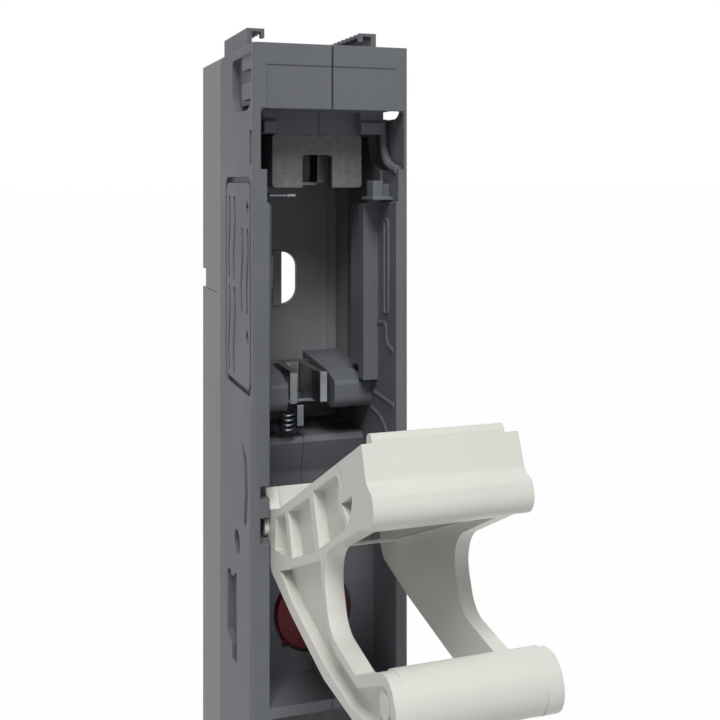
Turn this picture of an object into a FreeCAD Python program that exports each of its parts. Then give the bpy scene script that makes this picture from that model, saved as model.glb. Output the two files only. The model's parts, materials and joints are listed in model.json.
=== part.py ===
import FreeCAD, Part
import os
import math
import Sketcher
from FreeCAD import Placement, Rotation, Vector

# In-line fuse switch disconnector of three poles, to be bolted on busbars that lie across its back.
# A narrow upright housing of two half-shells and a rear base holds one fuse chamber for each pole.
# Each chamber is closed by a hinged lid with a grip bar, and the lid of the top pole stands open.
# X runs from left to right, Y from the front to the busbars and Z up.
# The origin is the middle busbar hole, on the face that touches the busbar.

os.makedirs("parts", exist_ok=True)
doc = FreeCAD.newDocument("fuse_switch_disconnector")
sheet = doc.addObject("Spreadsheet::Sheet", "Dims")

POLES = (1, 2, 3)

SIZES = {
    # housing
    "width": 50,
    "depth": 82.25,
    "tab_proud": 1,
    "shell_deep": 48.5,
    "pole_pitch": 185,
    "head_high": 19.9,
    "foot_high": 65.1,
    "left_wall": 5,
    "right_wall": 4,
    "ledge_thick": 3.25,
    "edge_round": 1.2,
    "seam_gap": 0.6,
    "seam_deep": 1.5,
    # fuse chamber, measured down from the top of its opening and back from the front
    "guard_drop": 7,
    "recess_deep": 14.5,
    "chamber_deep": 61,
    "chamber_drop": 108.25,
    "opening_drop": 124.75,
    "lower_wall_top_deep": 31.35,
    "lower_wall_deep": 35,
    "lower_lip": 1.6,
    "wall_thick": 2.5,
    "cheek_step_drop": 28.75,
    "cheek_step": 0.75,
    "vent_hole_drop": 57.25,
    "vent_hole_high": 18.9,
    "vent_hole_wide": 11.5,
    "bridge_wide": 3.1,
    "bridge_shift": -1.75,
    "hole_fill": 3.75,
    "back_strip_wide": 3.7,
    "back_strip_deep": 1.2,
    "strip_top_drop": 29.7,
    "strip_high": 54,
    "strip_front_high": 57.9,
    "strip_front": 17,
    "strip_step_deep": 5.2,
    "strip_deep": 14.5,
    "strip_thick": 4.9,
    "strip_set": 0.5,
    "corner_front": 10,
    "corner_wide": 8.5,
    "corner_wide_left": 4.2,
    "corner_chamfer": 1.3,
    "concave_round": 6,
    "rib_half": 4,
    "hood_front": 22.5,
    "hood_back": 42,
    "hood_high": 6.6,
    "hood_low": 2.1,
    "hood_gap": 16,
    "hood_round": 4,
    "guard_wide": 30,
    "guard_high": 17.2,
    "guard_front": 16,
    "guard_back": 44,
    "guard_round": 1.2,
    "notch_open": 10.1,
    "notch_top": 6.6,
    # cheeks beside the opening
    "scoop_thick": 2.7,
    "scoop_deep": 26,
    "scoop_drop": 18.5,
    "scoop_rise": 2,
    "scoop_start": 2.5,
    "scoop_round": 11,
    "tab_slot_rise": 9.5,
    "tab_slot_high": 4,
    # outer side faces
    "panel_deep": 1.5,
    "panel_rim": 2,
    "panel_front": 3,
    "panel_back": 40,
    "panel_top_drop": 20.75,
    "panel_low_drop": 88.25,
    "panel_round": 4,
    "vent_wide": 2.4,
    "vent_wave": 1.4,
    "vent_bend": 20,
    "vent_deep": 1.8,
    "vent_back": 33,
    "vent_front": 7,
    "vent_pair": 7.5,
    "vent_space": 2.3,
    "vent_a_drop": 27,
    "vent_b_drop": 56.4,
    "vent_c_drop": 84.2,
    "vent_d_drop": 36.8,
    "vent_d_long": 26.3,
    "short_wide": 3,
    "short_deep": 0.8,
    "groove_front": 2.4,
    "drop_a": 30.5,
    "drop_b": 70.3,
    "drop_half": 2,
    "drop_rise": 2.6,
    "pit_deep": 2.2,
    "side_hole_deep": 22.4,
    "side_hole_drop": 137.75,
    "side_hole_radius": 4,
    "groove_wide": 1,
    "groove_deep": 1.2,
    "groove_drop": 91.75,
    "joint_wide": 1,
    "base_step": 0.4,
    "base_step_deep": 54.3,
    "notch_drop": 54.3,
    "notch_high": 6.9,
    "notch_deep": 6.7,
    "notch_wide": 2.5,
    # head and the rails on it
    "head_band": 4.2,
    "head_field_deep": 0.25,
    "head_field_high": 13.3,
    "pocket_thick": 2.4,
    "pocket_front": 3,
    "pocket_back": 30,
    "pocket_low": 2.1,
    "pocket_low_left": 0.2,
    "pocket_high": 17,
    "pocket_round": 6,
    "pocket_stop_back": 18,
    "pocket_stop_low": 3.3,
    "pocket_stop_high": 5,
    "pocket_lintel": 12.6,
    "rail_inset": 2.95,
    "rail_thick": 1.7,
    "rail_wide": 5.8,
    "rail_cap": 1.1,
    "rail_high": 7.2,
    "rail_front": 21.5,
    "rail_back": 56,
    "tooth": 2.2,
    "tooth_deep": 1.2,
    "rail_lip": 3,
    # cap compartment and busbar bolt
    "cap_gap": 0.8,
    "cap_sunk": 1.5,
    "cap_dish": 0.5,
    "cap_ridge": 2.6,
    "boss_half": 12.8,
    "strip_step": 2.2,
    "pad_wide": 26,
    "cap_drop": 163,
    "cap_room_deep": 21.5,
    "cap_radius": 12.5,
    "cap_thick": 2.2,
    "cap_plug_long": 6,
    "tunnel_half": 10.5,
    "busbar_hole_radius": 6.5,
    # lid
    "lid_wide": 40,
    "lid_gap": 0.35,
    "lid_open_angle": 67.5,
    "pivot_deep": 5,
    "pivot_drop": 127.75,
    "pin_radius": 2.8,
    "pin_long": 1.2,
    "pin_clear": 0.35,
    "slot_half": 3.93,
    "slot_deep": 2.85,
    "left_arm": 5,
    "right_arm": 4,
    "lid_back": 8.5,
    "lid_foot_back": 2.9,
    "lip_radius": 1.9,
    "lug_back": 10.9,
    "lug_wide": 4,
    "lid_front": 9.5,
    "lid_top": 98.6,
    "lid_wall": 2.2,
    "grip_radius": 7.25,
    "grip_forward": 46.2,
    "grip_up": 91.9,
    "grip_end": 2.9,
    "rim": 2.6,
    "web": 2,
    "window_wide": 27,
    "window_high": 54,
    "window_low": 20,
    "window_thick": 1.5,
    "scoop_lid": 10.5,
    "window_play": 0.05,
    "claw_wide": 3.6,
    "slit_wide": 4,
    "slit_high": 1.6,
    "slit_apart": 9,
    "slit_drop": 4,
    # contacts
    "blade_gap": 5.4,
    "jaw_thick": 2.4,
    "jaw_high": 10,
    "jaw_long": 21,
    "upper_jaw_long": 17,
    "upper_jaw_drop": 17.5,
    "lower_jaw_drop": 90.6,
    "upper_jaw_front": 29,
    "lower_jaw_front": 26,
    "strip_metal": 3,
    "conductor_wide": 14,
    "jaw_lip": 5,
    "jaw_flare": 1.3,
    "jaw_bend": 0.6,
    "lane_out": 20.3,
    "lane_wide": 5.5,
    "lane_deep": 65.5,
    "lane_deep_rear": 72,
    "spring_thick": 0.9,
    "spring_high": 8,
    "clearance": 0.3,
    # foot with the cable terminals
    "foot_floor": 3,
    "cable_deep": 34,
    "cable_radius": 5.8,
    "terminal_pitch": 13.6,
    "terminal_wide": 12.6,
    "terminal_drop": 22,
    "cage_wall": 1.8,
    "cage_high": 13,
    "cage_front": 28,
    "cage_back": 46,
    "tongue_set": 11,
    "tongue_long": 20,
    "screw_radius": 3,
    "screw_head": 3.5,
    "screw_long": 7,
    "cover_thick": 2.5,
}


class Size:
    """A length with its value and the spreadsheet expression that it comes from."""

    def __init__(self, value, text):
        self.value = float(value)
        self.text = text

    def joined(self, other, sign, value):
        return Size(value, "(%s %s %s)" % (self.text, sign, other.text))

    def __add__(self, other):
        other = size(other)
        return self.joined(other, "+", self.value + other.value)

    def __radd__(self, other):
        return size(other) + self

    def __sub__(self, other):
        other = size(other)
        return self.joined(other, "-", self.value - other.value)

    def __rsub__(self, other):
        return size(other) - self

    def __mul__(self, other):
        other = size(other)
        return self.joined(other, "*", self.value * other.value)

    def __rmul__(self, other):
        return size(other) * self

    def __truediv__(self, other):
        other = size(other)
        return self.joined(other, "/", self.value / other.value)

    def __neg__(self):
        return size(0) - self

    def __float__(self):
        return self.value


def size(value):
    if isinstance(value, Size):
        return value
    return Size(value, "%.6g" % value if value >= 0 else "(0 - %.6g)" % -value)


class Dimensions:
    """Every cell of the sheet, as a Size under its alias."""

    def __init__(self):
        sheet.set("A1", "size")
        sheet.set("B1", "millimetres or degrees")
        for row, (alias, value) in enumerate(SIZES.items(), start=2):
            sheet.set("A%d" % row, alias)
            sheet.set("B%d" % row, str(value))
            sheet.setAlias("B%d" % row, alias)
        doc.recompute()
        for alias in SIZES:
            setattr(self, alias, Size(getattr(sheet, alias), "Dims." + alias))


dims = Dimensions()
NAMES = []


def bind(obj, prop, value):
    obj.setExpression(prop, size(value).text)


def place(obj, x, y, z):
    bind(obj, ".Placement.Base.x", x)
    bind(obj, ".Placement.Base.y", y)
    bind(obj, ".Placement.Base.z", z)


def block(name, x, y, z):
    """A box between two values on each axis."""
    obj = doc.addObject("Part::Box", name)
    bind(obj, "Length", x[1] - size(x[0]))
    bind(obj, "Width", y[1] - size(y[0]))
    bind(obj, "Height", z[1] - size(z[0]))
    place(obj, x[0], y[0], z[0])
    return obj


ALONG = {
    "X": Rotation(Vector(0, 1, 0), 90),
    "Y": Rotation(Vector(1, 0, 0), -90),
    "Z": Rotation(),
}


def rod(name, axis, centre, radius, span):
    """A cylinder along X, Y or Z, whose centre gives the two other coordinates in order."""
    obj = doc.addObject("Part::Cylinder", name)
    obj.Placement = Placement(Vector(), ALONG[axis])
    bind(obj, "Radius", radius)
    bind(obj, "Height", span[1] - size(span[0]))
    spot = list(centre)
    spot.insert("XYZ".index(axis), span[0])
    place(obj, *spot)
    return obj


def draw(sketch, path):
    """Draw a closed outline of (across, up) corners, or (across, up, radius) where one is round."""
    count = len(path)
    corners = [Vector(float(spot[0]), float(spot[1]), 0) for spot in path]
    starts = []
    ends = []
    for index, spot in enumerate(path):
        here = corners[index]
        before = (corners[index - 1] - here).normalize()
        after = (corners[(index + 1) % count] - here).normalize()
        cutback = 0.0
        if len(spot) == 3:
            half = before.getAngle(after) / 2
            cutback = float(spot[2]) / math.tan(half)
        ends.append(here + before * cutback)
        starts.append(here + after * cutback)
    lines = [sketch.addGeometry(Part.LineSegment(starts[i], ends[(i + 1) % count])) for i in range(count)]
    for index, spot in enumerate(path):
        before = lines[index - 1]
        after = lines[index]
        if len(spot) == 2:
            sketch.addConstraint(Sketcher.Constraint("Coincident", before, 2, after, 1))
            pin_point(sketch, after, 1, spot)
            continue
        here = corners[index]
        radius = float(spot[2])
        inward = ((ends[index] - here).normalize() + (starts[index] - here).normalize()).normalize()
        reach = math.hypot(radius, (ends[index] - here).Length)
        bulge = here + inward * (reach - radius)
        arc = sketch.addGeometry(Part.Arc(ends[index], bulge, starts[index]))
        corner = sketch.addGeometry(Part.Point(here), True)
        pin_point(sketch, corner, 1, spot)
        sketch.addConstraint(Sketcher.Constraint("PointOnObject", corner, 1, before))
        sketch.addConstraint(Sketcher.Constraint("PointOnObject", corner, 1, after))
        join_arc(sketch, before, 2, arc, ends[index])
        join_arc(sketch, after, 1, arc, starts[index])
        number = sketch.addConstraint(Sketcher.Constraint("Radius", arc, radius))
        bind(sketch, "Constraints[%d]" % number, spot[2])


def join_arc(sketch, line, line_end, arc, spot):
    """Join a line to the end of the arc that lies at the spot, and make the two tangent."""
    first = (sketch.getPoint(arc, 1) - spot).Length < (sketch.getPoint(arc, 2) - spot).Length
    sketch.addConstraint(Sketcher.Constraint("Tangent", line, line_end, arc, 1 if first else 2))


def pin_point(sketch, geometry, end, spot):
    """Hold a point of the sketch at its two distances from the sketch's origin."""
    for kind, value in (("DistanceX", spot[0]), ("DistanceY", spot[1])):
        constraint = Sketcher.Constraint(kind, -1, 1, geometry, end, float(value))
        number = sketch.addConstraint(constraint)
        bind(sketch, "Constraints[%d]" % number, value)


PLANES = {
    "X": Rotation(Vector(1, 1, 1), 120),
    "Y": Rotation(Vector(1, 0, 0), 90),
    "Z": Rotation(),
}


def prism(name, axis, path, span):
    """An outline drawn square to an axis and drawn out along it between two values."""
    sketch = doc.addObject("Sketcher::SketchObject", name + "_outline")
    sketch.Placement = Placement(Vector(), PLANES[axis])
    draw(sketch, path)
    start = span[1] if axis == "Y" else span[0]
    bind(sketch, ".Placement.Base." + axis.lower(), start)
    obj = doc.addObject("Part::Extrusion", name)
    obj.Base = sketch
    obj.DirMode = "Normal"
    obj.Solid = True
    bind(obj, "LengthFwd", span[1] - size(span[0]))
    return obj


def union(name, shapes):
    if len(shapes) == 1:
        return shapes[0]
    obj = doc.addObject("Part::MultiFuse", name)
    obj.Shapes = shapes
    return obj


def minus(name, base, tools):
    obj = doc.addObject("Part::Cut", name)
    obj.Base = base
    obj.Tool = union(name + "_cutters", tools)
    obj.Refine = True
    return obj


def joined(name, shapes):
    obj = union(name, shapes)
    obj.Refine = True
    return obj


def keep(obj, label):
    """Give a finished piece its name."""
    obj.Label = label
    NAMES.append(obj)
    return obj


class Body:
    """A part-design body that is built feature by feature."""

    def __init__(self, name):
        self.name = name
        self.body = doc.addObject("PartDesign::Body", name)
        self.steps = 0

    def origin(self, role):
        for feature in self.body.Origin.OriginFeatures:
            if feature.Role == role:
                return feature

    def sketch(self, axis, at):
        self.steps += 1
        sketch = self.body.newObject("Sketcher::SketchObject", "%s_sketch_%d" % (self.name, self.steps))
        role = {"X": "YZ_Plane", "Y": "XZ_Plane", "Z": "XY_Plane"}[axis]
        sketch.AttachmentSupport = (self.origin(role), [""])
        sketch.MapMode = "FlatFace"
        bind(sketch, ".AttachmentOffset.Base.z", -size(at) if axis == "Y" else at)
        return sketch

    def pad(self, axis, path, span):
        sketch = self.sketch(axis, span[1] if axis == "Y" else span[0])
        draw(sketch, path)
        return self.feature("PartDesign::Pad", sketch, span[1] - size(span[0]))

    def disc(self, axis, centre, radius, span):
        sketch = self.sketch(axis, span[1] if axis == "Y" else span[0])
        ring(sketch, centre, radius)
        return self.feature("PartDesign::Pad", sketch, span[1] - size(span[0]))

    def pocket(self, axis, path, span):
        sketch = self.sketch(axis, span[0] if axis == "Y" else span[1])
        draw(sketch, path)
        return self.cutting(sketch, span[1] - size(span[0]))

    def drill(self, axis, centre, radius, span):
        sketch = self.sketch(axis, span[0] if axis == "Y" else span[1])
        ring(sketch, centre, radius)
        return self.cutting(sketch, span[1] - size(span[0]))

    def cutting(self, sketch, length):
        before = self.body.Shape.Volume
        pocket = self.feature("PartDesign::Pocket", sketch, length)
        if self.body.Shape.Volume > before - 0.01:
            raise RuntimeError("%s cuts nothing" % pocket.Name)
        return pocket

    def feature(self, kind, sketch, length):
        obj = self.body.newObject(kind, sketch.Name.replace("sketch", kind.split("::")[1].lower()))
        obj.Profile = sketch
        bind(obj, "Length", length)
        sketch.Visibility = False
        doc.recompute()
        return obj

    def turn(self, axis, centre, path):
        """Revolve an outline of (radius, along) corners about an axis along Y at the centre."""
        sketch = self.sketch("X", centre[0])
        draw(sketch, [(along, centre[1] + size(radius)) + tuple(rest) for radius, along, *rest in path])
        line = sketch.addGeometry(Part.LineSegment(Vector(0, float(centre[1]), 0),
                                                   Vector(1, float(centre[1]), 0)), True)
        pin_point(sketch, line, 1, (size(0), centre[1]))
        pin_point(sketch, line, 2, (size(1), centre[1]))
        obj = self.body.newObject("PartDesign::Revolution", self.name + "_turned")
        obj.Profile = sketch
        obj.ReferenceAxis = (sketch, ["Axis0"])
        obj.Angle = 360
        doc.recompute()
        return obj


def ring(sketch, centre, radius):
    circle = sketch.addGeometry(Part.Circle(Vector(float(centre[0]), float(centre[1]), 0),
                                            Vector(0, 0, 1), float(radius)))
    pin_point(sketch, circle, 3, centre)
    number = sketch.addConstraint(Sketcher.Constraint("Radius", circle, float(radius)))
    bind(sketch, "Constraints[%d]" % number, radius)


def rectangle(across, up, radius=None):
    corners = [(across[0], up[0]), (across[1], up[0]), (across[1], up[1]), (across[0], up[1])]
    if radius is None:
        return corners
    return [corner + (radius,) for corner in corners]


front = -dims.depth
base_back = -dims.tab_proud
inner_left = -dims.width / 2 + dims.left_wall
inner_right = dims.width / 2 - dims.right_wall
ROOM = (inner_left, inner_right)


def deep(distance):
    """The Y of a spot that lies this far behind the front."""
    return front + distance


def top_of(pole):
    """The Z of the top of a pole's opening."""
    return dims.cap_drop + (2 - pole) * dims.pole_pitch


shell_top = top_of(1) + dims.head_high
foot_top = top_of(3) - dims.pole_pitch
shell_bottom = foot_top - dims.foot_high


def split_below(pole):
    """The Z of the plane between a pole's modules and those below it."""
    return top_of(pole + 1) + dims.ledge_thick / 2


def span_of(pole):
    """The Z span of the housing modules of a pole."""
    return split_below(pole), shell_top if pole == 1 else split_below(pole - 1)


class Side:
    """One side of the housing, with spans measured inwards from its outer face."""

    def __init__(self, name):
        self.name = name
        self.left = name == "left"
        self.wall = dims.left_wall if self.left else dims.right_wall

    def inward(self, near, far):
        """The X span between two distances from the outer face."""
        if self.left:
            return (-dims.width / 2 + near, -dims.width / 2 + far)
        return (dims.width / 2 - far, dims.width / 2 - near)

    def from_inside(self, far):
        """The X span of a cut that goes this far into the wall from its inner face."""
        return self.inward(self.wall - far, self.wall + 1)

    def to_seam(self, near):
        """The X span between a distance from the outer face and the seam in the middle."""
        return self.inward(near, dims.width / 2)

    def half(self):
        """The X span from the inner face of the wall to the seam."""
        return self.to_seam(self.wall)


SIDES = (Side("left"), Side("right"))


def chamber_cuts(name, side, top):
    """The open space of a pole's fuse chamber in one half-shell."""
    half = side.half()
    low = top - dims.chamber_drop
    yield block(name + "_chamber", half, (deep(-1), deep(dims.shell_deep + 1)), (low, top - dims.guard_drop))
    yield block(name + "_recess", half, (deep(-1), deep(dims.recess_deep)), (top - dims.guard_drop - 1, top))
    yield prism(name + "_concave", "X", [
        (deep(-1), top - dims.opening_drop - 1),
        (deep(dims.lower_wall_deep), top - dims.opening_drop - 1),
        (deep(dims.lower_wall_deep), top - dims.opening_drop + 4, dims.concave_round),
        (deep(dims.lower_wall_top_deep), low - dims.lower_lip),
        (deep(dims.lower_wall_top_deep + dims.lower_lip), low),
        (deep(-1), low),
    ], half)
    yield block(name + "_cap_room", half, (deep(-1), deep(dims.cap_room_deep)),
                (top - dims.pole_pitch + dims.ledge_thick, top - dims.opening_drop))


def cheek_cuts(name, side, top):
    """The finger scoop, the step and the hinge slots in a cheek beside the opening."""
    yield prism(name + "_scoop", "X", [
        (deep(-1), top - dims.scoop_drop),
        (deep(dims.scoop_deep), top - dims.scoop_drop, dims.scoop_round),
        (deep(dims.scoop_deep), top),
        (deep(-1), top),
    ], side.from_inside(dims.scoop_thick))
    yield block(name + "_step", side.from_inside(dims.cheek_step), (deep(-1), deep(dims.recess_deep)),
                (top - dims.cheek_step_drop, top - dims.scoop_drop + 1))
    pivot = top - dims.pivot_drop
    seat = dims.pin_radius + dims.pin_clear
    depth = side.from_inside(dims.slot_deep)
    yield block(name + "_slot_mouth", depth, (deep(-1), deep(dims.pivot_deep / 2)),
                (pivot - dims.slot_half, pivot + dims.slot_half))
    yield block(name + "_pin_slot", depth, (deep(-1), deep(dims.pivot_deep)), (pivot - seat, pivot + seat))
    yield rod(name + "_pin_seat", "X", (deep(dims.pivot_deep), pivot), seat, depth)
    yield block(name + "_tab_slot", depth, (deep(-1), deep(dims.pivot_deep)),
                (pivot + dims.tab_slot_rise, pivot + dims.tab_slot_rise + dims.tab_slot_high))


def wavy_slot(name, side, back, high, low):
    """A vent that snakes down the side panel."""
    rise = high - low
    wave = [(0, 0), (dims.vent_wave, 0.25), (-dims.vent_wave, 0.75), (0, 1)]
    one = [(deep(back + shift), low + rise * part) for shift, part in wave]
    other = [(deep(back + shift + dims.vent_wide), low + rise * part) for shift, part in reversed(wave)]
    path = [spot + (dims.vent_bend,) if number in (1, 2, 5, 6) else spot
            for number, spot in enumerate(one + other)]
    return prism(name, "X", path, side.inward(-1, dims.vent_deep))


def side_cuts(name, side, top):
    """The ring groove and the vents of the outer face, and the openings below them."""
    rim = dims.panel_rim
    across = (deep(dims.panel_front), deep(dims.panel_back))
    upright = (top - dims.panel_low_drop, top - dims.panel_top_drop)
    field = prism(name + "_field", "X", rectangle(across, upright, dims.panel_round),
                  side.inward(-1, dims.panel_deep))
    inner = rectangle((across[0] + rim, across[1] - rim), (upright[0] + rim, upright[1] - rim),
                      dims.panel_round - rim / 2)
    island = prism(name + "_island", "X", inner, side.inward(-2, dims.panel_deep + 1))
    yield minus(name + "_panel", field, [island])
    low_vents = dims.vent_d_drop + dims.vent_d_long
    for number, (back, high, low) in enumerate((
            (dims.vent_back, dims.vent_a_drop, dims.vent_b_drop - dims.vent_space),
            (dims.vent_back - dims.vent_pair, dims.vent_a_drop, dims.vent_b_drop - dims.vent_space),
            (dims.vent_back, dims.vent_b_drop, dims.vent_c_drop),
            (dims.vent_back - dims.vent_pair, dims.vent_b_drop, dims.vent_c_drop),
            (dims.vent_front + dims.vent_pair, dims.vent_d_drop, low_vents),
            (dims.vent_front, dims.vent_d_drop, low_vents)), start=1):
        yield wavy_slot("%s_vent_%d" % (name, number), side, back, top - high, top - low)
    pit = side.inward(-1, dims.pit_deep)
    centre = dims.vent_front + dims.vent_wide / 2
    for number, drop in enumerate((dims.drop_a, dims.drop_b), start=1):
        yield prism("%s_drop_%d" % (name, number), "X", [
            (deep(centre + dims.drop_half), top - drop),
            (deep(centre), top - drop + dims.drop_rise),
            (deep(centre - dims.drop_half), top - drop),
            (deep(centre), top - drop - dims.drop_rise),
        ], pit)
    yield prism(name + "_crescent", "X", [
        (deep(17), top - 103.2),
        (deep(12.6), top - 110),
        (deep(11.4), top - 118),
        (deep(13), top - 129.2),
        (deep(9.4), top - 129.2),
        (deep(7.4), top - 118),
        (deep(9.2), top - 108),
    ], pit)
    yield rod(name + "_screw_hole", "X", (deep(dims.side_hole_deep), top - dims.side_hole_drop),
              dims.side_hole_radius, pit)
    yield prism(name + "_aperture", "X", [
        (deep(37.2), top - 151.8),
        (deep(33.5), top - 149.6),
        (deep(29.9), top - 151.4),
        (deep(22.6), top - 147.5),
        (deep(22.6), top - 176.8),
        (deep(29.8), top - 178.2),
        (deep(29.8), top - 173.7),
        (deep(37.2), top - 171.6),
    ], pit)
    yield block(name + "_short_slot", side.inward(-1, dims.short_deep),
                (deep(dims.groove_front), deep(dims.groove_front + dims.short_wide)),
                (top - dims.scoop_drop + 1.3, top - dims.guard_drop + 0.5))


def groove(name, side, span):
    """The long upright groove of the outer face."""
    return block(name + "_groove", side.inward(-1, dims.groove_deep),
                 (deep(dims.groove_front), deep(dims.groove_front + dims.groove_wide)), span)


def head_cuts(name, side):
    """The seam, the sunk field and the finger pocket of the head."""
    top = top_of(1)
    yield block(name + "_head_seam", (-dims.seam_gap / 2, dims.seam_gap / 2),
                (deep(-1), deep(dims.seam_deep)), (top - 1, shell_top + 1))
    yield block(name + "_head_field", side.to_seam(dims.head_band), (deep(-1), deep(dims.head_field_deep)),
                (top - 1, top + dims.head_field_high))
    yield block(name + "_scoop_rise", side.from_inside(dims.scoop_thick),
                (deep(dims.scoop_start), deep(dims.scoop_deep)), (top - 1, top + dims.scoop_rise))
    low = top - (dims.pocket_low_left if side.left else dims.pocket_low)
    yield prism(name + "_pocket", "X", [
        (deep(dims.pocket_front), low, dims.pocket_round),
        (deep(dims.pocket_back), low, dims.pocket_round),
        (deep(dims.pocket_back), top + dims.pocket_high, dims.pocket_round / 2),
        (deep(dims.pocket_front), top + dims.pocket_high),
    ], side.inward(-1, dims.pocket_thick))


def terminal_x(pole):
    """The X of a pole's terminal: the lowest pole has the middle one, behind the bars of the others."""
    return {1: -1, 2: 1, 3: 0}[pole] * dims.terminal_pitch


def top_rail(side):
    """The toothed guide rail that stands on the housing's top."""
    name = side.name + "_rail"
    foot = side.inward(dims.rail_inset, dims.rail_inset + dims.rail_thick)
    edge = dims.rail_inset + dims.rail_wide
    rail_top = shell_top + dims.rail_high
    span = (deep(dims.rail_front), deep(dims.rail_back))
    plate = block(name + "_plate", side.inward(dims.rail_inset, edge), span, (rail_top - dims.rail_cap, rail_top))
    count = int(float(dims.rail_back - dims.rail_front) / (2 * float(dims.tooth)))
    teeth = [block("%s_tooth_%d" % (name, number), side.inward(edge - dims.tooth_deep, edge + 1),
                   (deep(dims.rail_front + (2 * number - 1) * dims.tooth),
                    deep(dims.rail_front + 2 * number * dims.tooth)), (shell_top, rail_top + 1))
             for number in range(1, count + 1)]
    yield block(name + "_web", foot, span, (shell_top, rail_top))
    yield minus(name + "_flange", plate, teeth)
    yield block(name + "_lip", side.inward(edge - dims.tooth_deep, edge),
                (deep(dims.rail_front), deep(dims.rail_front + dims.tooth)),
                (rail_top - dims.rail_lip, rail_top - dims.rail_cap / 2))


def shell_blank(name, side, span):
    outer = -dims.width / 2 if side.left else dims.width / 2
    return prism(name + "_blank", "Z", [
        (size(0), front),
        (outer, front, dims.edge_round),
        (outer, deep(dims.shell_deep)),
        (size(0), deep(dims.shell_deep)),
    ], span)


def chamber_ribs(name, side, top):
    """The guide rib inside the chamber, the corner block above it and the chamfer of the opening's corner."""
    low = top - dims.strip_top_drop
    bend = deep(dims.strip_front + dims.strip_step_deep)
    yield block(name + "_guide_front", side.inward(side.wall - 0.5, side.wall + dims.strip_thick),
                (deep(dims.strip_front), bend), (low - dims.strip_front_high, low))
    yield block(name + "_guide", side.inward(side.wall - 0.5, side.wall + dims.strip_thick - dims.strip_set),
                (bend - 0.5, deep(dims.strip_front + dims.strip_deep)), (low - dims.strip_high, low))
    wide = dims.corner_wide_left if side.left else dims.corner_wide
    yield prism(name + "_corner", "X", [
        (deep(dims.recess_deep + 0.5), top - dims.guard_drop),
        (deep(dims.recess_deep + 0.5), top + 0.5),
        (deep(dims.corner_front), top + 0.5),
        (deep(dims.corner_front), top - dims.guard_drop / 3),
        (deep(dims.corner_front - 1), top - dims.guard_drop / 2),
        (deep(dims.corner_front - 1), top - dims.guard_drop),
    ], side.inward(side.wall + 0.6, side.wall + wide))
    edge = side.wall - dims.scoop_thick
    corner, inside = side.inward(edge - 0.3, edge + dims.corner_chamfer)
    if not side.left:
        corner, inside = inside, corner
    yield prism(name + "_chamfer", "Y", [
        (corner, top + 0.3),
        (inside, top + 0.3),
        (corner, top - dims.corner_chamfer),
    ], (deep(0.3), deep(dims.scoop_start)))


def half_shell(side, pole):
    """One moulded half of the front housing beside one pole."""
    name = "%s_shell_%d" % (side.name, pole)
    top = top_of(pole)
    cap = top - dims.cap_drop
    low, high = span_of(pole)
    cutters = list(chamber_cuts(name, side, top)) + list(cheek_cuts(name, side, top))
    cutters += list(side_cuts(name, side, top))
    cutters.append(block(name + "_tunnel", side.to_seam(dims.width / 2 - dims.tunnel_half),
                         (deep(dims.cap_room_deep - 1), deep(dims.shell_deep + 1)),
                         (cap - dims.tunnel_half, cap + dims.tunnel_half)))
    cutters.append(rod(name + "_cap_seat", "Y", (size(0), cap), dims.cap_radius + dims.cap_gap,
                       (deep(dims.cap_room_deep - 1), deep(dims.cap_room_deep + dims.cap_sunk))))
    extras = list(chamber_ribs(name, side, top))
    if pole == 1:
        cutters += list(head_cuts(name, side))
        cutters.append(groove(name, side, (low - 1, top - dims.groove_drop)))
        extras += list(top_rail(side))
        for part, rise in (("stop", dims.pocket_stop_low), ("lintel", dims.pocket_lintel)):
            extras.append(block("%s_pocket_%s" % (name, part), side.inward(0.6, dims.pocket_thick + 0.5),
                                (deep(dims.pocket_front - 1), deep(dims.pocket_stop_back)),
                                (top + rise, top + rise + dims.pocket_stop_high)))
    else:
        cutters.append(groove(name, side, (low - 1, high + 1)))
    carved = minus(name + "_carved", shell_blank(name, side, (low, high)), cutters)
    return keep(joined(name, [carved] + extras), name)


def shell_foot(side):
    """One moulded half of the front housing below the poles, round the terminal room."""
    name = side.name + "_foot"
    cutters = [
        block(name + "_terminal_room", side.half(), (deep(-1), deep(dims.shell_deep + 1)),
              (shell_bottom + dims.foot_floor, foot_top)),
        groove(name, side, (shell_bottom - 1, split_below(POLES[-1]) + 1)),
    ]
    for pole in POLES:
        cutters.append(rod("%s_cable_hole_%d" % (name, pole), "Z", (terminal_x(pole), deep(dims.cable_deep)),
                           dims.cable_radius, (shell_bottom - 1, shell_bottom + dims.foot_floor + 1)))
    return keep(minus(name, shell_blank(name, side, (shell_bottom, split_below(POLES[-1]))), cutters), name)


def lane_of(pole):
    """The X span and the depth of a pole's outgoing bar behind the chambers."""
    outer = dims.lane_out
    left = (-outer, -outer + dims.lane_wide)
    right = (outer - dims.lane_wide, outer)
    return {1: (left, dims.lane_deep), 2: (right, dims.lane_deep), 3: (left, dims.lane_deep_rear)}[pole]


def base_lanes(name, span):
    """The slots down the back of the base for the outgoing bars."""
    for pole, word in ((1, "left"), (2, "right")):
        across, _ = lane_of(pole)
        yield block("%s_%s_lane" % (name, word), (across[0] - dims.clearance, across[1] + dims.clearance),
                    (deep(dims.chamber_deep + dims.wall_thick), base_back + 1), span)


def base_blank(name, span):
    """The blank of a base module, with half of the upright joint between it and the half-shells."""
    half = dims.width / 2
    joint = deep(dims.shell_deep)
    wide = dims.joint_wide
    return prism(name + "_blank", "Z", [
        (-half + wide, joint),
        (half - wide, joint),
        (half - wide, joint + wide),
        (half, joint + wide),
        (half, base_back, dims.edge_round),
        (-half, base_back, dims.edge_round),
        (-half, joint + wide),
        (-half + wide, joint + wide),
    ], span)


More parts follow.
